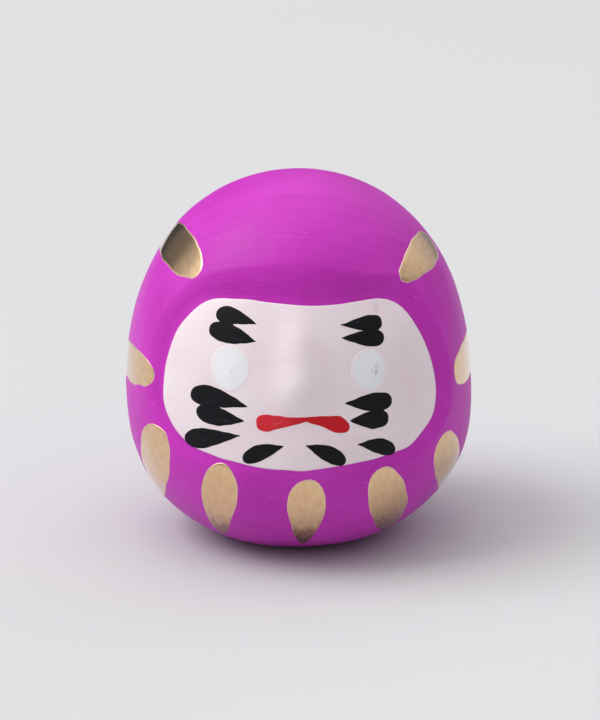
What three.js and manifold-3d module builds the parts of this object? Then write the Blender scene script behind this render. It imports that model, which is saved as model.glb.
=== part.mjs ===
// Daruma doll: a hollow papier-mache figure with a clay weight in its base, painted by hand.
// Millimetres, +Z up. The doll stands on z = 0 and faces -Y; left and right are the viewer's.
// Places on the body are directions from its centre: degrees around from the front
// (towards +X) and degrees up from the widest level.
import * as THREE from "three";
import { mergeVertices } from "three/addons/utils/BufferGeometryUtils.js";
import Module from "manifold-3d";

const wasm = await Module();
wasm.setup();

// ---- Driving dimensions -------------------------------------------------------------
// Outer form of the painted body
const bodyWidth = 50;
const bodyDepth = 48;
const bodyHeight = 53;
const widestHeight = 21.9; // level of the greatest girth above the table
const footDiameter = 18; // flat that the outer form has at the table, across
const crownSquareness = 2.16; // exponent of the dome; 2 is an ellipse
const bowlSquareness = 2.4; // exponent of the underside

// Sunken face window: a step all round it, and what is moulded in and about it
const faceCentre = { around: 0, up: 14 };
const hoodRecess = 1.15; // depth of the step below the hood's front edge
const cheekRecess = 0.85; // its depth at the sides
const chinRecess = 0.2; // its depth above the belly
const hoodRim = 4.4; // how far the step takes to rise to the hood
const cheekRim = 3;
const chinRim = 2.4;
const swellings = [
  { around: -6, up: 54, height: 0.75, halfAround: 32, halfUp: 13 }, // hood's front edge
  { around: 0, up: 12, height: -0.5, halfAround: 32, halfUp: 20 }, // the face is flatter
  { around: 0.5, up: 25.5, height: 0.9, halfAround: 7, halfUp: 11 }, // bridge of the nose
  { around: 0.5, up: 13.5, height: 1.15, halfAround: 8.5, halfUp: 7.5 }, // end of the nose
  { around: 34, up: 46, height: -0.5, halfAround: 18, halfUp: 12 }, // flats pressed by hand
  { around: -62, up: 47, height: -0.22, halfAround: 18, halfUp: 14 },
  { around: 78, up: -12, height: 0.22, halfAround: 22, halfUp: 14 },
  { around: -28, up: 62, height: 0.16, halfAround: 14, halfUp: 10 },
  { around: 16, up: -4, height: 0.14, halfAround: 20, halfUp: 8 }, // upper lip
];

// Papier-mache shell
const shellWall = 1.6;
const openingHeight = 5; // the shell starts this far above the table
const slitWidth = 0.3; // cut down the back that let the shell off its mould
const slitStart = 5; // how far behind the crown the slit begins

// Clay weight
const spigotRise = 3.2; // how far the weight reaches up inside the shell
const spigotFit = 0.3; // clearance between spigot and shell
const thumbHollow = { radius: 9, depth: 1.6 }; // hollow pressed in its top

// Paper strips over the joints, set flush in shallow channels
const stripPaper = 0.2;
const baseStrip = { bottom: 2.9, top: 8.1 };
const backStrip = { width: 7, start: 6 }; // start: how far behind the crown it begins
const stripFit = 0.3; // clearance round the edge of a strip

// Paint
const coatThickness = 0.45; // chalk ground and colour together
const coatFootGap = 0.4; // the coat stops this far above the table
const faceCoatThickness = 0.15;
const markThickness = 0.12;
const goldThickness = 0.12;
const layerGap = 0.05; // clearance between one layer and the next

// Facets of the modelled surface
const columns = { front: 30, back: 14, frontHalfAngle: 72 };
const rows = { below: 6, middle: 13, above: 4, middleFrom: -22, middleTo: 50 };
const wallColumns = 32;
const wallRows = 16;

// ---- Colours ------------------------------------------------------------------------
const finishes = {
  magenta: { color: 0xb82fae, roughness: 0.55, metalness: 0 },
  facePink: { color: 0xe9dce1, roughness: 0.6, metalness: 0 },
  eyeWhite: { color: 0xe6eded, roughness: 0.5, metalness: 0 },
  inkBlack: { color: 0x14151a, roughness: 0.4, metalness: 0 },
  mouthRed: { color: 0xd52c3a, roughness: 0.5, metalness: 0 },
  gold: { color: 0xd2a868, roughness: 0.3, metalness: 1 },
  paper: { color: 0xcdbf9f, roughness: 0.9, metalness: 0 },
  washi: { color: 0xe4dcc8, roughness: 0.9, metalness: 0 },
  clay: { color: 0x9a8a78, roughness: 0.95, metalness: 0 },
};

// ---- The body's form ----------------------------------------------------------------
const crownRise = bodyHeight - widestHeight;
const footShare = footDiameter / bodyWidth;
const bowlDrop = widestHeight / (1 - footShare ** bowlSquareness) ** (1 / bowlSquareness);
const meanRadius = (bodyWidth + bodyDepth) / 4;

const radians = THREE.MathUtils.degToRad;

// Unit vector towards a place on the body.
function direction(around, up) {
  const [a, u] = [radians(around), radians(up)];
  return new THREE.Vector3(Math.cos(u) * Math.sin(a), -Math.cos(u) * Math.cos(a), Math.sin(u));
}

// The egg-like form before anything is pressed into it: distance from the centre.
function eggRadius(d) {
  const girth = Math.hypot(d.x / (bodyWidth / 2), d.y / (bodyDepth / 2));
  const [reach, power] = d.z > 0 ? [crownRise, crownSquareness] : [bowlDrop, bowlSquareness];
  return (girth ** power + Math.abs(d.z / reach) ** power) ** (-1 / power);
}

// The face window's edge, in degrees around and up, clockwise from the top.
const faceEdge = [
  [-6, 40.3], [2, 39.9], [12, 39.8], [22, 40.4], [33, 40.5], [40, 38.6], [44.4, 34.6],
  [48.6, 27.4], [51.6, 19.5], [53.1, 12], [52.8, 4.6], [50.6, -0.4], [45.6, -4.7],
  [39.4, -8.9], [33, -9.9], [24, -11.1], [12, -12.2], [2, -13.1], [-7, -12.9], [-17, -12.1],
  [-27, -10.7], [-36, -9], [-41.8, -6.4], [-47.2, -2.2], [-51, 4], [-51.8, 11],
  [-51.2, 19.5], [-48.8, 27.9], [-44, 34.4], [-37.6, 38.7], [-30, 40.4], [-19, 40.9],
];
const faceEdgePoints = 64;
const faceCurve = new THREE.CatmullRomCurve3(
  faceEdge.map(([around, up]) => new THREE.Vector3(around, up, 0)), true, "centripetal",
);
const faceOutline = faceCurve.getPoints(faceEdgePoints).slice(0, faceEdgePoints);

// Axes of a flat chart laid on the body at a place: out, right and up.
function chartAt(around, up) {
  const out = direction(around, up);
  const right = new THREE.Vector3(0, 0, 1).cross(out).normalize();
  return { out, right, above: out.clone().cross(right) };
}

// Bearing and angle of a direction, seen from the middle of the face.
const faceChart = chartAt(faceCentre.around, faceCentre.up);
function fromFaceCentre(d) {
  const bearing = Math.atan2(d.dot(faceChart.above), d.dot(faceChart.right));
  return { bearing, angle: Math.acos(THREE.MathUtils.clamp(d.dot(faceChart.out), -1, 1)) };
}
const edgeByBearing = faceOutline
  .map((p) => fromFaceCentre(direction(p.x, p.y)))
  .sort((a, b) => a.bearing - b.bearing);

// Angle from the middle of the face to its edge, on a bearing.
function edgeAngle(bearing) {
  const turn = 2 * Math.PI;
  const next = edgeByBearing.findIndex((e) => e.bearing > bearing);
  const last = edgeByBearing.length - 1;
  const [b, a] = next > 0
    ? [edgeByBearing[next], edgeByBearing[next - 1]]
    : [edgeByBearing[0], edgeByBearing[last]];
  const span = next > 0 ? b.bearing - a.bearing : b.bearing - a.bearing + turn;
  const past = (bearing - a.bearing + turn) % turn;
  return THREE.MathUtils.lerp(a.angle, b.angle, past / span);
}

// A soft swelling of the surface centred on a place.
function swelling(d, { around, up, height, halfAround, halfUp }) {
  const a = THREE.MathUtils.radToDeg(Math.atan2(d.x, -d.y)) - around;
  const u = THREE.MathUtils.radToDeg(Math.asin(THREE.MathUtils.clamp(d.z, -1, 1))) - up;
  return height * Math.exp(-((a / halfAround) ** 2) - (u / halfUp) ** 2);
}

// A size that changes from the face window's top (rise 1) by its sides (0) to its bottom (-1).
function byRise(rise, top, side, bottom) {
  return THREE.MathUtils.lerp(side, rise > 0 ? top : bottom, Math.abs(rise) ** 1.5);
}

// Distance from the centre to the painted surface of the body.
function bodyRadius(d) {
  const { bearing, angle } = fromFaceCentre(d);
  const edge = edgeAngle(bearing);
  const rise = Math.sin(bearing) * Math.min(angle / edge, 1);
  const beyondEdge = (angle - edge) * meanRadius;
  const rim = byRise(rise, hoodRim, cheekRim, chinRim);
  const sunk = 1 - THREE.MathUtils.smoothstep(beyondEdge, 0, rim);
  const recess = sunk * byRise(rise, hoodRecess, cheekRecess, chinRecess);
  return swellings.reduce((radius, one) => radius + swelling(d, one), eggRadius(d) - recess);
}

// ---- Solids -------------------------------------------------------------------------
// A three.js geometry as a solid that can be cut and joined.
function solidOf(geometry) {
  const bare = new THREE.BufferGeometry()
    .setAttribute("position", geometry.getAttribute("position"))
    .setIndex(geometry.index);
  const merged = mergeVertices(bare, 1e-4);
  return new wasm.Manifold(new wasm.Mesh({
    numProp: 3,
    vertProperties: merged.getAttribute("position").array,
    triVerts: new Uint32Array(merged.index.array),
  }));
}

// A solid as a three.js geometry.
function geometryOf(solid) {
  const { vertProperties, triVerts, numProp } = solid.getMesh();
  const positions = new Float32Array((vertProperties.length / numProp) * 3);
  for (let i = 0; i < positions.length / 3; i++) {
    positions.set(vertProperties.subarray(i * numProp, i * numProp + 3), i * 3);
  }
  const geometry = new THREE.BufferGeometry();
  geometry.setAttribute("position", new THREE.BufferAttribute(positions, 3));
  geometry.setIndex(new THREE.BufferAttribute(new Uint32Array(triVerts), 1));
  geometry.computeVertexNormals();
  return geometry;
}

// Moves every vertex of a geometry.
function reshape(geometry, move) {
  const position = geometry.getAttribute("position");
  const v = new THREE.Vector3();
  for (let i = 0; i < position.count; i++) {
    v.fromBufferAttribute(position, i);
    move(v);
    position.setXYZ(i, v.x, v.y, v.z);
  }
  return geometry;
}

// Spaces an even share (0 to 1) so that one stretch of angles gets more facets.
function spaced(share, stops) {
  const total = stops.at(-1).count;
  const at = share * total;
  const i = stops.findIndex((s, k) => k > 0 && at <= s.count + 1e-9);
  const [from, to] = [stops[i - 1], stops[i]];
  return THREE.MathUtils.mapLinear(at, from.count, to.count, from.angle, to.angle);
}
const columnCount = columns.front + columns.back;
const columnStops = [
  { count: 0, angle: -180 },
  { count: columns.back / 2, angle: -columns.frontHalfAngle },
  { count: columns.back / 2 + columns.front, angle: columns.frontHalfAngle },
  { count: columnCount, angle: 180 },
];
const rowCount = rows.below + rows.middle + rows.above;
const rowStops = [
  { count: 0, angle: -90 },
  { count: rows.below, angle: rows.middleFrom },
  { count: rows.below + rows.middle, angle: rows.middleTo },
  { count: rowCount, angle: 90 },
];

// The body's form, grown (or shrunk) by an offset along each ray from the centre.
function bodyForm(offset) {
  const ball = new THREE.SphereGeometry(1, columnCount, rowCount).rotateX(Math.PI / 2);
  return solidOf(reshape(ball, (v) => {
    const turn = Math.atan2(v.x, -v.y) / (2 * Math.PI) + 0.5;
    const climb = Math.asin(THREE.MathUtils.clamp(v.z, -1, 1)) / Math.PI + 0.5;
    const pole = Math.abs(v.z) > 1 - 1e-9;
    const d = pole
      ? new THREE.Vector3(0, 0, Math.sign(v.z))
      : direction(spaced(turn, columnStops), spaced(climb, rowStops));
    v.copy(d).multiplyScalar(bodyRadius(d) + offset);
  }));
}

// The same form with fewer facets, for the inside of the shell.
function hollowForm(offset) {
  const ball = new THREE.SphereGeometry(1, wallColumns, wallRows).rotateX(Math.PI / 2);
  return solidOf(reshape(ball, (v) => v.normalize().multiplyScalar(bodyRadius(v) + offset)));
}

// A box between two corners, in heights above the table.
const farOut = bodyWidth + bodyDepth + bodyHeight;
function block({ x = [-farOut, farOut], y = [-farOut, farOut], z = [-farOut, farOut] }) {
  const middle = ([low, high]) => (low + high) / 2;
  const box = new THREE.BoxGeometry(x[1] - x[0], y[1] - y[0], z[1] - z[0]);
  box.translate(middle(x), middle(y), middle(z) - widestHeight);
  return solidOf(box);
}

// A wedge from inside the body outwards, whose section is an outline drawn on the body.
const wedgeFrom = 0.5;
const wedgeTo = 2.6;
function wedge(outline, toDirection) {
  const shape = new THREE.Shape(outline);
  const drawn = new THREE.ExtrudeGeometry(shape, { depth: 1, bevelEnabled: false });
  return solidOf(reshape(drawn, (v) => {
    const reach = THREE.MathUtils.lerp(wedgeFrom, wedgeTo, v.z) * meanRadius;
    v.copy(toDirection(v.x, v.y)).multiplyScalar(reach);
  }));
}

// ---- Brush marks --------------------------------------------------------------------
// Marks are drawn in degrees seen from the centre, so they grow with the doll.

// Turns a flat outline laid at a place into directions.
function drawnAt({ out, right, above }) {
  return (x, y) => {
    const [a, b] = [radians(x), radians(y)];
    const turned = out.clone().multiplyScalar(Math.cos(a)).addScaledVector(right, Math.sin(a));
    return turned.multiplyScalar(Math.cos(b)).addScaledVector(above, Math.sin(b));
  };
}

// A brush press: from its round outer end, by its belly, to its tip. Widths are in degrees;
// belly is the share of the length where it is widest, and bow bends it to its left.
const sideSteps = 8;
function brushPress({ end, tip, halfWidth, belly = 0.38, taper = 1.5, bow = 0, tipWidth = 0.05 }) {
  const out = direction(...end);
  const towards = direction(...tip);
  const right = towards.clone().addScaledVector(out, -towards.dot(out)).normalize();
  const length = THREE.MathUtils.radToDeg(out.angleTo(towards));
  const side = (share, sign) => {
    const head = Math.min(share / belly, 1);
    const tail = Math.max((share - belly) / (1 - belly), 0);
    const width = Math.sqrt(1 - (1 - head) ** 2) * (1 - (1 - tipWidth) * tail ** taper);
    const bent = 4 * bow * share * (1 - share);
    return new THREE.Vector2(share * length, sign * halfWidth * width + bent);
  };
  const shares = Array.from({ length: sideSteps }, (_, i) => {
    return (1 - Math.cos((Math.PI * (i + 1)) / sideSteps)) / 2;
  });
  const outline = [
    new THREE.Vector2(0, 0),
    ...shares.map((share) => side(share, -1)),
    ...shares.toReversed().map((share) => side(share, 1)),
  ];
  return wedge(outline, drawnAt({ out, right, above: out.clone().cross(right) }));
}

// An oval patch.
const ovalPoints = 24;
function ovalPatch({ centre, halfWidth, halfHeight }) {
  const outline = new THREE.EllipseCurve(0, 0, halfWidth, halfHeight).getPoints(ovalPoints);
  return wedge(outline.slice(0, ovalPoints), drawnAt(chartAt(...centre)));
}

const joined = (solids) => solids.reduce((all, one) => all.add(one));

// ---- Layers of paint ----------------------------------------------------------------
// Each layer lies between two offsets of the body's form.
function layer(bottom, thickness) {
  return { solid: bodyForm(bottom + thickness).subtract(bodyForm(bottom)), top: bottom + thickness };
}
const goldLayer = layer(layerGap, goldThickness);
const faceLayer = layer(layerGap, faceCoatThickness);
const markLayer = layer(faceLayer.top + layerGap, markThickness);

// ---- Structure ----------------------------------------------------------------------
const coatInside = -coatThickness;
const paperOutside = coatInside - layerGap;
const channelFloor = paperOutside - stripPaper - layerGap;

// The form of the bare paper and clay, with flush channels for the strips.
function channelledForm() {
  const baseBand = block({ z: [baseStrip.bottom - stripFit, baseStrip.top + stripFit] });
  const backBand = block({
    x: [-backStrip.width / 2 - stripFit, backStrip.width / 2 + stripFit],
    y: [backStrip.start - stripFit, farOut],
    z: [baseStrip.top, farOut],
  });
  const channels = baseBand.add(backBand).subtract(bodyForm(channelFloor));
  return bodyForm(paperOutside).subtract(channels);
}
const barePaper = channelledForm();
const inside = hollowForm(paperOutside - shellWall);

function paperShell() {
  const slit = block({
    x: [-slitWidth / 2, slitWidth / 2],
    y: [slitStart, farOut],
    z: [0, farOut],
  });
  return barePaper.subtract(inside).subtract(slit).intersect(block({ z: [openingHeight, farOut] }));
}

function clayWeight() {
  const shoulder = openingHeight - spigotFit;
  const top = openingHeight + spigotRise;
  const bowl = barePaper.intersect(block({ z: [0, shoulder] }));
  const spigot = hollowForm(paperOutside - shellWall - spigotFit)
    .intersect(block({ z: [shoulder / 2, top] }));
  const { radius, depth } = thumbHollow;
  const ballRadius = (radius ** 2 + depth ** 2) / (2 * depth);
  const press = new THREE.SphereGeometry(ballRadius, 28, 40).rotateX(Math.PI / 2);
  press.translate(0, 0, top - depth + ballRadius - widestHeight);
  return bowl.add(spigot).subtract(solidOf(press));
}

function stripLayer() {
  return bodyForm(paperOutside).subtract(bodyForm(paperOutside - stripPaper));
}

function baseSeamStrip() {
  return stripLayer().intersect(block({ z: [baseStrip.bottom, baseStrip.top] }));
}

function backSeamStrip() {
  return stripLayer().intersect(block({
    x: [-backStrip.width / 2, backStrip.width / 2],
    y: [backStrip.start, farOut],
    z: [baseStrip.top + stripFit, farOut],
  }));
}

function magentaCoat() {
  const skin = bodyForm(0).subtract(bodyForm(coatInside));
  return skin.intersect(block({ z: [coatFootGap, farOut] }));
}

// ---- The painted marks --------------------------------------------------------------
const brushMarks = {
  brow_left: [
    { end: [-32, 35.8], tip: [-15.4, 34.1], halfWidth: 2.65, belly: 0.3, bow: 0.3 },
    { end: [-34, 31.1], tip: [-15.2, 28.9], halfWidth: 3, belly: 0.4 },
  ],
  brow_right: [
    { end: [32.1, 33.2], tip: [15.5, 33.9], halfWidth: 2.55, belly: 0.3, bow: 0.3 },
    { end: [31.9, 28.5], tip: [15.4, 30], halfWidth: 2.7, belly: 0.3, bow: 0.2 },
  ],
  whisker_left: [
    { end: [-38.9, 9.5], tip: [-17, 7.7], halfWidth: 3.4, belly: 0.34, bow: 0.6 },
    { end: [-36.3, 4], tip: [-18.2, 2.8], halfWidth: 3.05, belly: 0.4, bow: -0.2 },
  ],
  whisker_right: [
    { end: [33, 8], tip: [15.9, 9], halfWidth: 3.1, belly: 0.36 },
    { end: [31.5, 2.4], tip: [17.7, 2.9], halfWidth: 3.05, belly: 0.38 },
  ],
  beard_side_left: [
    { end: [-40.9, -6.5], tip: [-19.4, -2.2], halfWidth: 3.2, belly: 0.34, taper: 1.25 },
  ],
  beard_side_right: [
    { end: [34, -9.4], tip: [19.9, -5.2], halfWidth: 2.5, belly: 0.4, bow: -0.9 },
  ],
  beard_chin_left: [
    { end: [-18.7, -10.4], tip: [-4.9, -4.9], halfWidth: 2.5, belly: 0.4, bow: 0.6 },
  ],
  beard_chin_right: [
    { end: [15.8, -11], tip: [2.4, -4.6], halfWidth: 2.5, belly: 0.4, bow: -0.6 },
  ],
};
const mouthMark = [
  { end: [-14.1, 2.3], tip: [8, 4.5], halfWidth: 2.7, belly: 0.18, taper: 0.75, bow: -0.1 },
  { end: [17.2, 0.7], tip: [-3, 4.7], halfWidth: 2.65, belly: 0.24, taper: 0.85, bow: -0.7 },
];
const eyes = {
  eye_white_left: { centre: [-24.2, 19.7], halfWidth: 6.4, halfHeight: 7 },
  eye_white_right: { centre: [25, 18.8], halfWidth: 6, halfHeight: 6.6 },
};
const goldDrops = {
  gold_drop_top_left: { end: [-43.1, 45], tip: [-107, 47], halfWidth: 5.7, belly: 0.42, taper: 2.2 },
  gold_drop_side_left: { end: [-55.4, 11.8], tip: [-114, 7], halfWidth: 6.2, belly: 0.4, taper: 1.8 },
  gold_drop_low_left: { end: [-50.2, -5], tip: [-75, -36], halfWidth: 8.4, taper: 1.9 },
  gold_drop_front_left: { end: [-25.2, -12.5], tip: [-40.6, -49], halfWidth: 6.2, belly: 0.32 },
  gold_drop_front_centre: { end: [3.1, -16.3], tip: [2, -51], halfWidth: 6, belly: 0.32 },
  gold_drop_front_right: { end: [27.8, -14.4], tip: [50, -48], halfWidth: 6.7, taper: 1.9 },
  gold_drop_low_right: { end: [53.2, -8.6], tip: [80, -34], halfWidth: 7.4, taper: 1.7 },
  gold_drop_side_right: { end: [62.2, 10.4], tip: [113, 13], halfWidth: 7, belly: 0.4, taper: 1.8 },
  gold_drop_top_right: { end: [86, 48.6], tip: [44.8, 43.4], halfWidth: 5, belly: 0.42, taper: 1.8 },
};

// ---- The doll -----------------------------------------------------------------------
const doll = new THREE.Group();
doll.name = "daruma_doll";

// Groups sit at the body's centre, where every form is drawn from.
function addGroup(name) {
  const group = new THREE.Group();
  group.name = name;
  group.position.z = widestHeight;
  doll.add(group);
  return group;
}

function addPiece(group, name, solid, finish) {
  const mesh = new THREE.Mesh(geometryOf(solid), new THREE.MeshStandardMaterial(finish));
  mesh.name = name;
  group.add(mesh);
}

const structure = addGroup("structure");
addPiece(structure, "paper_shell", paperShell(), finishes.paper);
addPiece(structure, "clay_weight", clayWeight(), finishes.clay);
addPiece(structure, "back_seam_strip", backSeamStrip(), finishes.washi);
addPiece(structure, "base_seam_strip", baseSeamStrip(), finishes.washi);
addPiece(structure, "magenta_coat", magentaCoat(), finishes.magenta);

const face = addGroup("face");
const faceWedge = wedge(faceOutline.map((p) => new THREE.Vector2(p.x, p.y)), direction);
addPiece(face, "face_coat", faceLayer.solid.intersect(faceWedge), finishes.facePink);
for (const [name, presses] of Object.entries(brushMarks)) {
  const cutter = joined(presses.map(brushPress));
  addPiece(face, name, markLayer.solid.intersect(cutter), finishes.inkBlack);
}
for (const [name, oval] of Object.entries(eyes)) {
  addPiece(face, name, markLayer.solid.intersect(ovalPatch(oval)), finishes.eyeWhite);
}
const mouth = markLayer.solid.intersect(joined(mouthMark.map(brushPress)));
addPiece(face, "mouth", mouth, finishes.mouthRed);

const robe = addGroup("robe");
for (const [name, drop] of Object.entries(goldDrops)) {
  addPiece(robe, name, goldLayer.solid.intersect(brushPress(drop)), finishes.gold);
}

export default doll;
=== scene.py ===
"""Fine form and finishes of a papier-mache daruma doll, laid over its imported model.

Lengths are in millimetres until a mesh is made. A place on the body is a direction from its
centre: degrees around from the front (towards +X) and degrees up from the widest level.
"""

import logging
import math
from dataclasses import dataclass, field
from enum import Enum

import bpy
import numpy as np
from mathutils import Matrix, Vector


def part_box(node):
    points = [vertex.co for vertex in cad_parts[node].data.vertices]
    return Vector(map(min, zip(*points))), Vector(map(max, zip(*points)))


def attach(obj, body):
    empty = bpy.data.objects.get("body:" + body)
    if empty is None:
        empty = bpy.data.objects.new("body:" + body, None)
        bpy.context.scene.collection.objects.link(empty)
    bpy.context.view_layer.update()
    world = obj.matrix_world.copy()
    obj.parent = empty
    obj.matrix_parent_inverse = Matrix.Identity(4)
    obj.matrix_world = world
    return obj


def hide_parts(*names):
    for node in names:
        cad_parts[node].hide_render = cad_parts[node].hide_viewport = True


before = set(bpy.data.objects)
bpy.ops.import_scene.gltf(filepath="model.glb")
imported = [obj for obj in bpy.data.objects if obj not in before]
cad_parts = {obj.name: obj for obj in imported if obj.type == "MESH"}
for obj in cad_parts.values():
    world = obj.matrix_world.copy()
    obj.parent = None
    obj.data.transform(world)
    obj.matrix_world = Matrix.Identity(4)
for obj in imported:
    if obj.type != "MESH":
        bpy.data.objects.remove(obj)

MM = 0.001
LAY = "brush_lay"  # where a point lies along and across the brush strokes, in millimetres
EDGE = "from_edge"  # how far a point is inside its film's edge, in millimetres
TINY = 1e-12
log = logging.getLogger("daruma")

Place = tuple[float, float]
Colour = tuple[float, float, float]
Triple = tuple[float, float, float]
Stop = tuple[float, int]


def direction(around: np.ndarray, up: np.ndarray) -> np.ndarray:
    """Unit vectors towards places on the body, given in degrees around and up."""
    a, u = np.broadcast_arrays(np.radians(around), np.radians(up))
    return np.stack([np.cos(u) * np.sin(a), -np.cos(u) * np.cos(a), np.sin(u)], axis=-1)


def eased(share: np.ndarray) -> np.ndarray:
    """A smooth step from 0 to 1 while share goes from 0 to 1."""
    s = np.clip(share, 0.0, 1.0)
    return s * s * (3.0 - 2.0 * s)


def closed_curve(knots: np.ndarray, steps: int) -> np.ndarray:
    """A smooth closed curve through knots.

    Args:
        knots: Points in order round the curve.
        steps: Points to make for each span.

    Returns:
        Points round the curve.
    """
    before, start, end, after = (np.roll(knots, k, axis=0)[:, None] for k in (1, 0, -1, -2))
    t = (np.arange(steps) / steps)[None, :, None]
    curve = start + 0.5 * t * (
        end - before
        + t * (2 * before - 5 * start + 4 * end - after + t * (3 * (start - end) + after - before))
    )
    return curve.reshape(-1, knots.shape[1])


@dataclass(frozen=True)
class Ripple:
    """A smooth unevenness, such as a hand leaves, the same on every run.

    Attributes:
        height: Its usual height.
        wavelength: The usual distance from crest to crest.
        seed: Chooses one of the possible patterns.
        waves: How many waves are added up.
        shortest: The shortest wave, as a share of the usual one.
        longest: The longest wave, as a share of the usual one.
    """

    height: float
    wavelength: float
    seed: int
    waves: int = 10
    shortest: float = 0.7
    longest: float = 1.6

    def at(self, points: np.ndarray) -> np.ndarray:
        """The unevenness at points.

        Args:
            points: Points whose last axis holds their coordinates.

        Returns:
            A height for each point.
        """
        chance = np.random.default_rng(self.seed)
        total = np.zeros(points.shape[:-1])
        for _ in range(self.waves):
            heading = chance.normal(size=points.shape[-1])
            heading /= np.linalg.norm(heading)
            length = self.wavelength * chance.uniform(self.shortest, self.longest)
            phase = chance.uniform(0.0, 2.0 * math.pi)
            total += np.sin(points @ heading * (2.0 * math.pi / length) + phase)
        return self.height * total / math.sqrt(self.waves / 2.0)


@dataclass(frozen=True)
class Swelling:
    """A soft rise or dent of the surface round a place."""

    around: float
    up: float
    height: float
    half_around: float
    half_up: float

    def at(self, around: np.ndarray, up: np.ndarray) -> np.ndarray:
        """Heights at places on the body, in degrees around and up."""
        off = ((around - self.around + 180.0) % 360.0 - 180.0) / self.half_around
        return self.height * np.exp(-(off**2) - ((up - self.up) / self.half_up) ** 2)


@dataclass(frozen=True)
class Chart:
    """A sheet of paper wrapped on the body at a place, measured in millimetres."""

    out: np.ndarray
    right: np.ndarray
    above: np.ndarray
    reach: float

    @classmethod
    def at(cls, place: Place, reach: float) -> "Chart":
        """A chart centred on a place.

        Args:
            place: The place on the body.
            reach: The radius of the ball that the chart is wrapped on.

        Returns:
            The chart.
        """
        out = direction(*place)
        right = np.cross([0.0, 0.0, 1.0], out)
        right /= np.linalg.norm(right)
        return cls(out, right, np.cross(out, right), reach)

    def direction(self, x: np.ndarray, y: np.ndarray) -> np.ndarray:
        """The directions of points that are drawn on the chart, x across and y up."""
        a, b = (x / self.reach)[..., None], (y / self.reach)[..., None]
        return (np.cos(a) * self.out + np.sin(a) * self.right) * np.cos(b) + np.sin(b) * self.above

    def drawn(self, d: np.ndarray) -> np.ndarray:
        """The points on the chart, across and up, that lie towards directions."""
        across, rise = np.arctan2(d @ self.right, d @ self.out), np.clip(d @ self.above, -1.0, 1.0)
        return np.stack([across, np.arcsin(rise)], axis=-1) * self.reach


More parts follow.
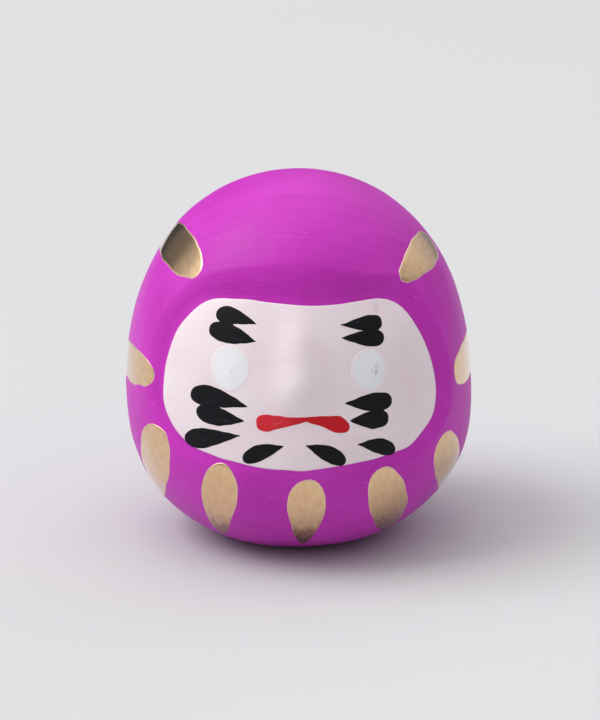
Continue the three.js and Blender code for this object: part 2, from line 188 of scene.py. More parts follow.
@dataclass
class BodyForm:
    """The doll's outer form: an egg with a sunken face window, a hood and a nose.

    The window's recess and the width of its rim are given at its top, sides and bottom.
    """

    half_width: float
    half_depth: float
    height: float
    widest_height: float = 21.9
    foot_radius: float = 9.0
    crown_squareness: float = 2.16
    bowl_squareness: float = 2.4
    face_centre: Place = (0.0, 14.0)
    face_edge: tuple[Place, ...] = (
        (-6, 40.3), (2, 39.9), (12, 39.8), (22, 40.4), (33, 40.5), (40, 38.6), (44.4, 34.6),
        (48.6, 27.4), (51.6, 19.5), (53.1, 12), (52.8, 4.6), (50.6, -0.4), (45.6, -4.7),
        (39.4, -8.9), (33, -9.9), (24, -11.1), (12, -12.2), (2, -13.1), (-7, -12.9), (-17, -12.1),
        (-27, -10.7), (-36, -9.0), (-41.8, -6.4), (-47.2, -2.2), (-51.0, 4), (-51.8, 11),
        (-51.2, 19.5), (-48.8, 27.9), (-44, 34.4), (-37.6, 38.7), (-30, 40.4), (-19, 40.9),
    )
    recess: Triple = (1.15, 0.85, 0.2)
    rim_width: Triple = (4.4, 3.0, 2.4)
    swellings: tuple[Swelling, ...] = (
        Swelling(-6, 54, 0.75, 32, 13),
        Swelling(0, 12, -0.5, 32, 20),
        Swelling(0.5, 25.5, 0.9, 7.0, 11.0),
        Swelling(0.5, 13.5, 1.15, 8.5, 7.5),
        Swelling(34, 46, -0.5, 18, 12),
        Swelling(-62, 47, -0.22, 18, 14),
        Swelling(78, -12, 0.22, 22, 14),
        Swelling(-28, 62, 0.16, 14, 10),
        Swelling(16, -4, 0.14, 20, 8),
    )
    ripples: tuple[Ripple, ...] = (Ripple(0.055, 15.0, 4), Ripple(0.016, 5.5, 9))

    def __post_init__(self) -> None:
        """Works out the underside and the face window's edge."""
        share = (self.foot_radius / self.half_width) ** self.bowl_squareness
        self.crown_rise = self.height - self.widest_height
        self.bowl_drop = self.widest_height / (1.0 - share) ** (1.0 / self.bowl_squareness)
        self.mean_radius = (self.half_width + self.half_depth) / 2.0
        self.face_chart = Chart.at(self.face_centre, self.mean_radius)
        self.face_outline = closed_curve(np.array(self.face_edge, float), 12)
        bearing, angle = self._from_face_centre(direction(*self.face_outline.T))
        order = np.argsort(bearing)
        self._edge = bearing[order], angle[order]

    def _from_face_centre(self, d: np.ndarray) -> tuple[np.ndarray, np.ndarray]:
        """Bearing and angle of directions, seen from the middle of the face."""
        bearing = np.arctan2(d @ self.face_chart.above, d @ self.face_chart.right)
        return bearing, np.arccos(np.clip(d @ self.face_chart.out, -1.0, 1.0))

    def beyond_face(self, d: np.ndarray) -> tuple[np.ndarray, np.ndarray, np.ndarray]:
        """Where directions lie round the face window.

        Args:
            d: Directions from the centre.

        Returns:
            Their bearings from the middle of the face, how far outside its edge they are, and
            how near they are to its top, from -1 at the bottom to 1 at the top.
        """
        bearing, angle = self._from_face_centre(d)
        edge = np.interp(bearing, *self._edge, period=2.0 * math.pi)
        rise = np.sin(bearing) * np.minimum(angle / edge, 1.0)
        return bearing, (angle - edge) * self.mean_radius, rise

    @staticmethod
    def _by_rise(rise: np.ndarray, sizes: Triple) -> np.ndarray:
        """A size that changes from the window's top, by its sides, to its bottom."""
        top, side, bottom = sizes
        return side + np.where(rise > 0, top - side, bottom - side) * np.abs(rise) ** 1.5

    def radius(self, d: np.ndarray) -> np.ndarray:
        """Measures the body.

        Args:
            d: Directions from its centre.

        Returns:
            The distance to the painted surface towards each of them.
        """
        girth = np.hypot(d[..., 0] / self.half_width, d[..., 1] / self.half_depth)
        above = d[..., 2] > 0
        reach = np.where(above, self.crown_rise, self.bowl_drop)
        power = np.where(above, self.crown_squareness, self.bowl_squareness)
        egg = (girth**power + np.abs(d[..., 2] / reach) ** power) ** (-1.0 / power)
        _, beyond, rise = self.beyond_face(d)
        sunk = 1.0 - eased(beyond / self._by_rise(rise, self.rim_width))
        form = egg - sunk * self._by_rise(rise, self.recess)
        around = np.degrees(np.arctan2(d[..., 0], -d[..., 1]))
        up = np.degrees(np.arcsin(np.clip(d[..., 2], -1.0, 1.0)))
        form += sum(s.at(around, up) for s in self.swellings)
        on_ball = d * self.mean_radius
        return form + sum(r.at(on_ball) for r in self.ripples)

    def point(self, d: np.ndarray, offset: np.ndarray | float = 0.0) -> np.ndarray:
        """Points of the painted surface, or above it by an offset."""
        at = d * (self.radius(d) + offset)[..., None]
        return at + np.array([0.0, 0.0, self.widest_height])


# ---- Shader building ----------------------------------------------------------------


class Signal:
    """A number carried by a shader socket, which can be used in sums."""

    def __init__(self, bench: "Bench", socket: bpy.types.NodeSocket) -> None:
        """Wraps a socket."""
        self.bench = bench
        self.socket = socket

    def _maths(self, operation: str, first: "Number", second: "Number") -> "Signal":
        """Adds a Math node and wraps its result."""
        sockets = {0: first, 1: second}
        return self.bench.signal("ShaderNodeMath", {"operation": operation}, sockets)

    def __add__(self, other: "Number") -> "Signal":
        """self + other."""
        return self._maths("ADD", self, other)

    __radd__ = __add__

    def __sub__(self, other: "Number") -> "Signal":
        """self - other."""
        return self._maths("SUBTRACT", self, other)

    def __rsub__(self, other: "Number") -> "Signal":
        """other - self."""
        return self._maths("SUBTRACT", other, self)

    def __mul__(self, other: "Number") -> "Signal":
        """self * other."""
        return self._maths("MULTIPLY", self, other)

    __rmul__ = __mul__

    def eased(self, low: float, high: float) -> "Signal":
        """A smooth step from 0 at low to 1 at high."""
        kind, settings = "ShaderNodeMapRange", {"interpolation_type": "SMOOTHSTEP"}
        return self.bench.signal(kind, settings, {0: self, 1: low, 2: high})


Number = Signal | float


class Bench:
    """Adds nodes to one material's or world's node tree."""

    def __init__(self, tree: bpy.types.NodeTree) -> None:
        """Starts with an empty tree."""
        self.tree = tree
        tree.nodes.clear()

    def node(self, kind: str, settings: dict, sockets: dict) -> bpy.types.Node:
        """Adds a node.

        Args:
            kind: The node's type.
            settings: Properties of the node, set first.
            sockets: Values or signals for its input sockets, by name or number.

        Returns:
            The new node.
        """
        made = self.tree.nodes.new(kind)
        for name, value in settings.items():
            setattr(made, name, value)
        for name, value in sockets.items():
            if isinstance(value, Signal):
                self.tree.links.new(value.socket, made.inputs[name])
            elif isinstance(value, tuple) and made.inputs[name].type == "RGBA":
                made.inputs[name].default_value = (*value, 1.0)
            else:
                made.inputs[name].default_value = value
        return made

    def signal(self, kind: str, settings: dict, sockets: dict, output: str | int = 0) -> Signal:
        """Adds a node and takes one of its outputs, by name or number."""
        return Signal(self, self.node(kind, settings, sockets).outputs[output])

    def attribute(self, name: str, output: str = "Fac") -> Signal:
        """A value stored on the mesh."""
        return self.signal("ShaderNodeAttribute", {"attribute_name": name}, {}, output)

    def lay(self) -> Signal:
        """Where a point lies along and across the brushing, in millimetres."""
        return self.attribute(LAY, "Vector")

    def place(self) -> Signal:
        """The point on the piece, in its own metres."""
        return self.signal("ShaderNodeTexCoord", {}, {}, "Object")

    def stretched(self, vector: Signal, by: Triple) -> Signal:
        """A vector scaled by a different factor along each axis."""
        return self.signal("ShaderNodeVectorMath", {"operation": "MULTIPLY"}, {0: vector, 1: by})

    def noise(
        self, vector: Signal, scale: float, detail: float = 2.0, roughness: float = 0.5
    ) -> Signal:
        """Soft noise, about 0.5 on average."""
        sockets = {"Vector": vector, "Scale": scale, "Detail": detail, "Roughness": roughness}
        return self.signal("ShaderNodeTexNoise", {}, sockets, "Fac")

    def brushed(self, by: Triple, detail: float, roughness: float = 0.5) -> Signal:
        """Soft noise with so many marks to a millimetre along the brushing, across it and up."""
        return self.noise(self.stretched(self.lay(), by), 1.0, detail, roughness)

    def blend(self, first: "Signal | Colour", second: "Signal | Colour", amount: Number) -> Signal:
        """A colour between two colours."""
        sockets = {0: amount, 6: first, 7: second}
        return self.signal("ShaderNodeMix", {"data_type": "RGBA"}, sockets, 2)

    def bump(
        self, height: Signal, depth: float, strength: float, under: Signal | None = None
    ) -> Signal:
        """Tilts the surface by a height.

        Args:
            height: The height, from 0 to 1.
            depth: How many millimetres deep it is.
            strength: How much of it shows.
            under: A normal that is tilted already, if there is one.

        Returns:
            The tilted normal.
        """
        sockets = {"Height": height, "Distance": depth * MM, "Strength": strength}
        if under is not None:
            sockets["Normal"] = under
        return self.signal("ShaderNodeBump", {}, sockets)

    def surface(
        self,
        colour: "Signal | Colour",
        roughness: Number,
        normal: Signal,
        specular: float = 0.5,
        more: dict | None = None,
    ) -> None:
        """Ends a material's tree with a Principled shader.

        Args:
            colour: Its base colour.
            roughness: Its roughness.
            normal: Its tilted normal.
            specular: Its specular level.
            more: Its other sockets, if there are any.
        """
        sockets = {
            "Base Color": colour,
            "Roughness": roughness,
            "Normal": normal,
            "Specular IOR Level": specular,
            **(more or {}),
        }
        shader = self.signal("ShaderNodeBsdfPrincipled", {}, sockets)
        self.node("ShaderNodeOutputMaterial", {}, {"Surface": shader})


def srgb(red: int, green: int, blue: int) -> Colour:
    """A colour given by its 0 to 255 chart values, as light."""
    values = (c / 255.0 for c in (red, green, blue))
    return tuple(v / 12.92 if v <= 0.04045 else ((v + 0.055) / 1.055) ** 2.4 for v in values)


def new_material(name: str) -> tuple[bpy.types.Material, Bench]:
    """Makes a material with an empty node tree.

    Args:
        name: Its name.

    Returns:
        The material, and the bench that fills its tree.
    """
    material = bpy.data.materials.new(name)
    material.use_nodes = True
    return material, Bench(material.node_tree)


# ---- Finishes -----------------------------------------------------------------------


@dataclass(frozen=True)
class RobePaint:
    """Magenta water paint, brushed round the face window in fine streaks.

    The first two numbers of its streaks count them round the window, and the third counts
    them in a millimetre away from it.
    """

    deep: Colour = srgb(184, 41, 171)
    light: Colour = srgb(204, 58, 193)
    speck: Colour = srgb(232, 150, 226)
    hairs: Triple = (0.22, 0.22, 4.6)
    sweeps: Triple = (0.07, 0.07, 0.75)

    def made(self) -> bpy.types.Material:
        """Mixes the finish.

        Returns:
            Its material.
        """
        material, b = new_material("robe_paint")
        place = b.place()
        fine, broad = b.brushed(self.hairs, 5.0, 0.6), b.brushed(self.sweeps, 3.0)
        cloud = b.noise(place, 90.0, 3.0)
        tone = (0.36 * fine + 0.18 * broad + 0.46 * cloud).eased(0.3, 0.7)
        specks = b.noise(place, 1900.0, 0.0).eased(0.81, 0.87)
        colour = b.blend(b.blend(self.deep, self.light, tone), self.speck, specks * 0.22)
        grain = b.bump(b.noise(place, 700.0, 4.0), 0.02, 0.2)
        b.surface(colour, 0.36 + 0.14 * broad, b.bump(fine, 0.02, 0.12, grain), specular=0.2)
        return material


@dataclass(frozen=True)
class FacePaint:
    """Pale pink paint of the face window, with faint brush lines, scuffs and a rubbed spot."""

    light: Colour = srgb(242, 229, 234)
    warm: Colour = srgb(239, 222, 228)
    scuff: Colour = srgb(186, 177, 182)
    hairs: Triple = (0.14, 1.7, 1.0)
    scuffs: Triple = (0.9, 2.6, 1.0)

    def made(self) -> bpy.types.Material:
        """Mixes the finish.

        Returns:
            Its material.
        """
        material, b = new_material("face_paint")
        place, streak = b.place(), b.brushed(self.hairs, 4.0, 0.6)
        cloud = b.noise(place, 160.0, 3.0)
        colour = b.blend(self.light, self.warm, (0.3 * streak + 0.7 * cloud).eased(0.36, 0.66))
        scuffs = b.brushed(self.scuffs, 2.0).eased(0.74, 0.8)
        rubbed_and_reflected_shade = b.attribute("rubbed_and_reflected_shade") * (0.2 + cloud)
        colour = b.blend(colour, self.scuff, 0.35 * scuffs + 0.6 * rubbed_and_reflected_shade)
        grain = b.bump(b.noise(place, 900.0, 3.0), 0.02, 0.15)
        b.surface(colour, 0.44 + 0.12 * cloud, b.bump(streak, 0.015, 0.08, grain), specular=0.35)
        return material


@dataclass(frozen=True)
class EyeWhite:
    """Thick white paint of the blank eyes, thin at its edge, with a dried nib in the middle."""

    body: Colour = srgb(238, 241, 242)
    thin: Colour = srgb(243, 231, 237)
    nib_greying: Colour = srgb(128, 130, 132)
    scratches: Triple = (3.6, 1.35, 1.5)

    def made(self) -> bpy.types.Material:
        """Mixes the finish.

        Returns:
            Its material.
        """
        material, b = new_material("eye_white")
        lay = b.lay()
        colour = b.blend(self.thin, self.body, b.attribute(EDGE).eased(0.0, 0.75))
        scratch = b.brushed(self.scratches, 4.0, 0.7).eased(0.5, 0.58)
        # Grey scratch marks round the nib, stronger where the nib stands taller.
        colour = b.blend(colour, self.nib_greying, scratch * b.attribute("near_nib"))
        rough = 0.42 + 0.2 * b.noise(lay, 0.8, 3.0)
        b.surface(colour, rough, b.bump(b.noise(lay, 1.4, 4.0), 0.04, 0.35), specular=0.4)
        return material


@dataclass(frozen=True)
class BrushInk:
    """Black brush paint with a slight sheen, streaked along the stroke; its lighter streaks are
    partly dry brushing and partly a painted sheen.
    """

    body: Colour = srgb(4, 5, 13)
    dry_and_sheen: Colour = srgb(58, 56, 62)
    hairs: Triple = (0.35, 3.4, 1.0)
    patches: Triple = (0.5, 0.7, 1.0)

    def made(self) -> bpy.types.Material:
        """Mixes the finish.

        Returns:
            Its material.
        """
        material, b = new_material("brush_ink")
        streak, patch = b.brushed(self.hairs, 4.0, 0.6), b.brushed(self.patches, 2.0)
        # Lighter streaks inside the stroke: partly dry brushing and partly a painted sheen.
        dry_and_sheen = streak.eased(0.5, 0.75) * patch.eased(0.45, 0.7) * b.attribute(EDGE).eased(0.05, 0.4)
        colour = b.blend(self.body, self.dry_and_sheen, dry_and_sheen * 0.6)
        b.surface(colour, 0.42 + 0.3 * streak, b.bump(streak, 0.04, 0.4), specular=0.22)
        return material


@dataclass(frozen=True)
class MouthRed:
    """Red paint, thin on the left lobe and thick on the right."""

    thin: Colour = srgb(216, 42, 56)
    thick: Colour = srgb(198, 18, 32)
    seen_through: Colour = srgb(226, 104, 110)
    hairs: Triple = (0.5, 3.0, 1.0)

    def made(self) -> bpy.types.Material:
        """Mixes the finish.

        Returns:
            Its material.
        """
        material, b = new_material("mouth_red")
        streak, side = b.brushed(self.hairs, 4.0, 0.6), b.attribute("across_mouth")
        colour = b.blend(self.thin, self.thick, (side + 0.8 * streak).eased(0.2, 1.0))
        rubbed_and_reflected_shade = streak.eased(0.52, 0.7) * b.attribute(EDGE).eased(0.15, 0.5) * (1.0 - side)
        colour = b.blend(colour, self.seen_through, rubbed_and_reflected_shade * 0.5)
        b.surface(colour, 0.46 + 0.2 * streak, b.bump(streak, 0.04, 0.4), specular=0.25)
        return material


@dataclass(frozen=True)
class GoldPaint:
    """Glossy metallic gold, brushed along each drop, paler at its rim, and darkened low down with a
    painted reflection of the shaded floor.
    """

    body: Colour = srgb(233, 194, 145)
    deep: Colour = srgb(221, 180, 134)
    rim: Colour = srgb(240, 206, 178)
    # Painted reflection: the dark colour that the drops' low parts are mixed towards, standing for
    # the shaded floor that they mirror.
    rubbed_and_reflected_shade: Colour = srgb(150, 104, 82)
    hairs: Triple = (0.3, 2.8, 1.0)
    crumples: Triple = (0.55, 0.9, 1.0)

    def made(self) -> bpy.types.Material:
        """Mixes the finish.

        Returns:
            Its material.
        """
        material, b = new_material("gold_paint")
        edge = b.attribute(EDGE)
        streak, crumple = b.brushed(self.hairs, 4.0, 0.6), b.brushed(self.crumples, 3.0)
        colour = b.blend(self.body, self.deep, (0.45 * streak + 0.55 * crumple).eased(0.4, 0.64))
        # Painted reflection: darkens the drops towards their low ends, broken up by the crumple
        # noise, as if they mirrored the shaded floor by the foot; it also takes away some of the
        # clear coat there.
        shade_reflection_mask = (b.attribute("low_down") + 0.9 * crumple).eased(0.6, 1.36)
        colour = b.blend(b.blend(self.rim, colour, edge.eased(0.02, 0.22)), self.rubbed_and_reflected_shade, shade_reflection_mask)
        rough = 0.08 + 0.08 * streak + 0.36 * (1.0 - edge.eased(0.0, 0.4))
        coat = {"Coat Weight": 0.88 - 0.6 * shade_reflection_mask, "Coat IOR": 1.75, "Coat Roughness": 0.1}
        normal = b.bump(streak, 0.02, 0.34, b.bump(crumple, 0.07, 0.18))
        b.surface(colour, rough, normal, more={"Metallic": 1.0, **coat})
        return material


@dataclass(frozen=True)
class FibrousStock:
    """Paper or clay: a matt ground with fibres or grit.

    Attributes:
        name: The material's name.
        ground: Its main colour.
        fleck: The colour of its fibres or grit.
        grain: How many grains there are in a metre.
        depth: How many millimetres deep the grain is.
    """

    name: str
    ground: Colour
    fleck: Colour
    grain: float
    depth: float

    def made(self) -> bpy.types.Material:
        """Mixes the finish.

        Returns:
            Its material.
        """
        material, b = new_material(self.name)
        place = b.place()
        cloud = b.noise(place, self.grain * 0.12, 4.0)
        fibre = b.noise(b.stretched(place, (1.0, 1.0, 0.35)), self.grain, 5.0, 0.7)
        colour = b.blend(self.ground, self.fleck, (0.6 * fibre + 0.4 * cloud).eased(0.42, 0.66))
        b.surface(colour, 0.82 + 0.14 * cloud, b.bump(fibre, self.depth, 0.6), specular=0.2)
        return material


LAYERED_PAPER = FibrousStock("layered_paper", srgb(205, 191, 159), srgb(170, 154, 122), 900.0, 0.15)
PASTED_WASHI = FibrousStock("pasted_washi", srgb(228, 220, 200), srgb(206, 194, 168), 1400.0, 0.08)
DRIED_CLAY = FibrousStock("dried_clay", srgb(158, 141, 120), srgb(126, 110, 92), 1100.0, 0.2)


class Finish(Enum):
    """The doll's finishes, each with the name of the slot it belongs to."""

    ROBE = ("magenta", RobePaint())
    FACE = ("face_pink", FacePaint())
    EYE = ("eye_white", EyeWhite())
    INK = ("ink_black", BrushInk())
    MOUTH = ("mouth_red", MouthRed())
    GOLD = ("gold", GoldPaint())
    PAPER = ("paper", LAYERED_PAPER)
    WASHI = ("washi", PASTED_WASHI)
    CLAY = ("clay", DRIED_CLAY)


class Paintbox:
    """Mixes each finish once."""

    def __init__(self) -> None:
        """Starts with nothing mixed."""
        self._mixed: dict[Finish, bpy.types.Material] = {}

    def dress(self, piece: bpy.types.Object, finish: Finish) -> None:
        """Gives a piece its finish.

        Args:
            piece: The piece.
            finish: Its finish.
        """
        if finish not in self._mixed:
            self._mixed[finish] = finish.value[1].made()
        piece.data.materials.clear()
        piece.data.materials.append(self._mixed[finish])


# ---- Meshes -------------------------------------------------------------------------


def placed(name: str, data: bpy.types.ID) -> bpy.types.Object:
    """Puts an object in the scene.

    Args:
        name: Its name.
        data: Its mesh, light or camera.

    Returns:
        The object.
    """
    item = bpy.data.objects.new(name, data)
    bpy.context.scene.collection.objects.link(item)
    return item


@dataclass
class Draft:
    """A mesh before it is made: millimetre points, faces, and values at its points."""

    points: np.ndarray
    faces: list[tuple[int, ...]]
    values: dict[str, np.ndarray] = field(default_factory=dict)

    def made(self, name: str) -> bpy.types.Object:
        """Makes the mesh smooth, in metres.

        Args:
            name: Its name.

        Returns:
            The object that holds it.
        """
        mesh = bpy.data.meshes.new(name)
        mesh.from_pydata((self.points * MM).tolist(), [], self.faces)
        for key, value in self.values.items():
            kind, part = ("FLOAT_VECTOR", "vector") if value.ndim == 2 else ("FLOAT", "value")
            stored = mesh.attributes.new(key, kind, "POINT")
            stored.data.foreach_set(part, value.astype(np.float32).ravel())
        mesh.shade_smooth()
        mesh.validate()
        return placed(name, mesh)


@dataclass
class Builder:
    """Places finished pieces on the doll's one body."""

    form: BodyForm
    paintbox: Paintbox

    def add(self, draft: Draft, name: str, node: str, finish: Finish) -> None:
        """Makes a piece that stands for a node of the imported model.

        Args:
            draft: Its mesh.
            name: Its name.
            node: The node that it stands for.
            finish: Its finish.
        """
        piece = draft.made(name)
        self.paintbox.dress(piece, finish)
        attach(piece, "root")
        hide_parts(node)
        log.info("%s: %d points for %s", name, len(draft.points), node)


def rings_closed(count: int, columns: int) -> list[tuple[int, ...]]:
    """Faces of a closed surface of rings, with a pole point before the first and after the last.

    Args:
        count: How many rings there are.
        columns: How many points each has.

    Returns:
        Quads between rings and triangles at both poles, for rings that turn to the left
        when seen from the last pole.
    """
    here = 1 + np.arange(count * columns).reshape(count, columns)
    right = np.roll(here, -1, axis=1)
    quads = np.stack([here[:-1], right[:-1], right[1:], here[1:]], axis=-1).reshape(-1, 4)
    last = 1 + count * columns
    first_cap = [(0, int(b), int(a)) for a, b in zip(here[0], right[0])]
    last_cap = [(last, int(a), int(b)) for a, b in zip(here[-1], right[-1])]
    return [tuple(q) for q in quads.tolist()] + first_cap + last_cap


def spread(stops: tuple[Stop, ...], closed: bool) -> np.ndarray:
    """Angles spaced evenly within each stretch.

    Args:
        stops: Each stretch's starting angle and number of steps; the last one only ends.
        closed: Whether the last angle is left out, because it is the first again.

    Returns:
        The angles.
    """
    parts = [
        np.linspace(start, stops[i + 1][0], steps, endpoint=False)
        for i, (start, steps) in enumerate(stops[:-1])
    ]
    return np.concatenate(parts if closed else [*parts, [stops[-1][0]]])


@dataclass
class RobeCoat:
    """The magenta coat over the whole figure, a closed skin that is open at the foot.

    The strips pasted under it, one up the back and one in a band round the foot, lift it a
    little. Stops give angles in degrees, each with the number of mesh steps up to the next.
    """

    build: Builder
    thickness: float = 0.45
    foot_gap: float = 0.4
    foot_radius: float = 10.4
    around_stops: tuple[Stop, ...] = ((-180, 50), (-78, 200), (78, 50), (180, 0))
    up_stops: tuple[Stop, ...] = ((89.2, 46), (58, 190), (-32, 50))
    inner_steps: int = 30
    seam_half_width: float = 3.5
    seam_height: float = 0.10
    seam_behind: float = 5.5
    band_low: float = 2.9
    band_high: float = 8.1
    band_behind: float = -6.0
    band_fade: float = 16.0
    band_edge: float = 0.6
    seam_fades: Triple = (0.7, 1.5, 0.5)
    worn: Ripple = Ripple(0.35, 6.0, 21)
    wander: Ripple = Ripple(0.25, 9.0, 22)
    lay_turn: float = 12.0

    def _relief(self, at: np.ndarray) -> np.ndarray:
        """Finds how far the pasted strips lift the coat.

        Args:
            at: Points of the surface.

        Returns:
            The lift at each of them, in millimetres.
        """
        x, y, z = np.moveaxis(at, -1, 0)
        wander = self.wander.at(at)
        beside, behind, above = self.seam_fades
        back = eased((self.seam_half_width + wander - np.abs(x)) / beside)
        back = back * eased((y - self.seam_behind) / behind) * eased((z - self.band_high) / above)
        band = eased((z - self.band_low - wander) / self.band_edge)
        band = band * eased((self.band_high + wander - z) / self.band_edge)
        band = band * eased((y - self.band_behind) / self.band_fade)
        return self.seam_height * (1.0 + self.worn.at(at)) * np.maximum(back, band)

    def made(self) -> None:
        """Builds the coat's outer face, its foot edge and its inner face as one skin."""
        form = self.build.form
        around = spread(self.around_stops, closed=True)
        foot_up = -math.degrees(math.atan2(form.widest_height - self.foot_gap, self.foot_radius))
        outer_up = spread((*self.up_stops, (foot_up, 0)), closed=False)
        inner_up = spread(((foot_up, self.inner_steps), self.up_stops[0]), closed=False)
        grid = direction(around[None, :], outer_up[:, None])
        outer = form.point(grid)
        outer = outer + grid * self._relief(outer)[..., None]
        inner = form.point(direction(around[None, :], inner_up[:, None]), -self.thickness)
        for surface in (outer, inner):
            surface[..., 2] = np.maximum(surface[..., 2], self.foot_gap)
        top = direction(np.zeros(1), np.full(1, 90.0))
        ends = form.point(top), form.point(top, -self.thickness)
        points = np.concatenate([ends[0], outer.reshape(-1, 3), inner.reshape(-1, 3), ends[1]])
        rings = rings_closed(len(outer_up) + len(inner_up), len(around))
        faces = [face[::-1] for face in rings]
        towards = points - np.array([0.0, 0.0, form.widest_height])
        towards /= np.linalg.norm(towards, axis=1)[:, None]
        bearing, beyond, _ = form.beyond_face(towards)
        turn = self.lay_turn * np.cos(bearing), self.lay_turn * np.sin(bearing)
        lay = np.stack([*turn, beyond], axis=-1)
        self.build.add(Draft(points, faces, {LAY: lay}), "robe_coat", "magenta_coat", Finish.ROBE)


# ---- Films of paint -----------------------------------------------------------------


def inside_distance(points: np.ndarray, outline: np.ndarray) -> np.ndarray:
    """Measures how far points are from a closed outline.

    Args:
        points: The points.
        outline: The corners of the outline, in order.

    Returns:
        The distances, above zero inside and below zero outside.
    """
    start, end = outline, np.roll(outline, -1, axis=0)
    run = end - start
    nearest = np.full(len(points), np.inf)
    crossings = np.zeros(len(points), int)
    for (x0, y0), (dx, dy) in zip(start, run):
        px, py = points[:, 0] - x0, points[:, 1] - y0
        share = np.clip((px * dx + py * dy) / (dx * dx + dy * dy + TINY), 0.0, 1.0)
        nearest = np.minimum(nearest, np.hypot(px - share * dx, py - share * dy))
        spans = (py >= 0) != (py >= dy)
        crossings += spans & ((px < dx * py / (dy if dy else TINY)))
    return np.where(crossings % 2 == 1, nearest, -nearest)


@dataclass(frozen=True)
class Press:
    """One press of a loaded brush: a round head, drawn out to a tip.

    Attributes:
        end: The outer end of the head.
        tip: Where the brush left the surface.
        half_width: Half the width at the belly, in millimetres.
        belly: How far along the widest place is, as a share.
        bluntness: How square the head is; 2 is round.
        taper: How full the tail is; 1 is straight.
        bow: How far the stroke bends to its left, in millimetres.
        tip_width: The tip's width as a share of the belly's.
        steps: How many points each side of its edge has.
    """

    end: Place
    tip: Place
    half_width: float
    belly: float = 0.38
    bluntness: float = 2.2
    taper: float = 1.5
    bow: float = 0.0
    tip_width: float = 0.0
    steps: int = 49

    def middle(self) -> Place:
        """The place half way along."""
        return (self.end[0] + self.tip[0]) / 2.0, (self.end[1] + self.tip[1]) / 2.0

    def _axis(self, chart: Chart) -> tuple[np.ndarray, np.ndarray, np.ndarray, float]:
        """Lays the press on a chart.

        Args:
            chart: The chart.

        Returns:
            Its start, its heading, the direction to its left and its length.
        """
        start, stop = chart.drawn(direction(*self.end)), chart.drawn(direction(*self.tip))
        length = float(np.linalg.norm(stop - start))
        heading = (stop - start) / length
        return start, heading, np.array([-heading[1], heading[0]]), length

    def outline(self, chart: Chart) -> np.ndarray:
        """Draws the edge of the press.

        Args:
            chart: The chart it is drawn on.

        Returns:
            The points of its edge, in order.
        """
        start, heading, left, length = self._axis(chart)
        share = (1.0 - np.cos(np.linspace(0.0, math.pi, self.steps))) / 2.0
        head = np.clip(share / self.belly, 0.0, 1.0)
        tail = np.clip((share - self.belly) / (1.0 - self.belly), 0.0, 1.0)
        width = (1.0 - (1.0 - head) ** self.bluntness) ** (1.0 / self.bluntness)
        width *= 1.0 - (1.0 - self.tip_width) * tail**self.taper
        if self.tip_width:
            rounded = 0.8 * self.tip_width * self.half_width / length
            width *= np.sqrt(np.clip((1.0 - share) / rounded, 0.0, 1.0))
        spine = start + share[:, None] * length * heading
        spine = spine + (4.0 * self.bow * share * (1.0 - share))[:, None] * left
        side = (self.half_width * width)[:, None] * left
        return np.concatenate([spine + side, (spine - side)[-2:0:-1]])

    def lay(self, chart: Chart, points: np.ndarray) -> np.ndarray:
        """How far points on a chart are along and across the press."""
        start, heading, left, _ = self._axis(chart)
        return np.stack([(points - start) @ heading, (points - start) @ left], axis=-1)


@dataclass(frozen=True)
class Film:
    """A dried film of paint with a rounded edge.

    Attributes:
        thickness: How high it stands.
        lifted: How far above the body's surface it starts.
        wobble: How uneven its edge is.
        spacing: The distance between its mesh points.
        rounding: How far inside its edge it reaches its full height.
        sunk: How far below its start its underside lies.
    """

    thickness: float
    lifted: float
    wobble: Ripple
    spacing: float
    rounding: float = 0.16
    sunk: float = 0.05

    def laid(
        self, form: BodyForm, chart: Chart, patch: "Patch", nib: "Nib | None" = None
    ) -> Draft:
        """Lays the film on the body.

        Args:
            form: The body.
            chart: The chart that its edge is drawn on.
            patch: The edge, and how the paint is brushed inside it.
            nib: A peak in the film, if there is one.

        Returns:
            The closed mesh, with its brush lay and distance from its edge.
        """
        low, high = patch.extent(chart)
        margin = 3.0 * self.spacing
        xs = np.arange(low[0] - margin, high[0] + margin, self.spacing)
        ys = np.arange(low[1] - margin, high[1] + margin, self.spacing)
        grid = np.stack(np.meshgrid(xs, ys), axis=-1)
        flat = grid.reshape(-1, 2)
        depth = patch.depths(chart, flat).max(axis=0) + self.wobble.at(flat)
        least = 0.06 * self.spacing  # keeps the edge a little way off the grid's own points
        depth = np.where(np.abs(depth) < least, np.where(depth < 0, -least, least), depth)
        sheet, faces, rim = cut_sheet(depth.reshape(grid.shape[:2]), xs, ys)
        depth = np.maximum(patch.depths(chart, sheet).max(axis=0) + self.wobble.at(sheet), 0.0)
        rise = self.thickness * np.sqrt(1.0 - (1.0 - np.clip(depth / self.rounding, 0.0, 1.0)) ** 2)
        if nib is not None:
            rise = rise + nib.height(sheet)
        d = chart.direction(sheet[:, 0], sheet[:, 1])
        top = form.point(d, self.lifted + rise)
        under = form.point(d, self.lifted - self.sunk)
        count = len(sheet)
        closed = [
            *faces,
            *(tuple(count + corner for corner in reversed(face)) for face in faces),
            *((b, a, count + a, count + b) for a, b in rim),
        ]
        lay = np.concatenate([patch.lay(chart, sheet), np.zeros((count, 1))], axis=1)
        values = {LAY: np.tile(lay, (2, 1)), EDGE: np.tile(depth, 2)}
        return Draft(np.concatenate([top, under]), closed, values)


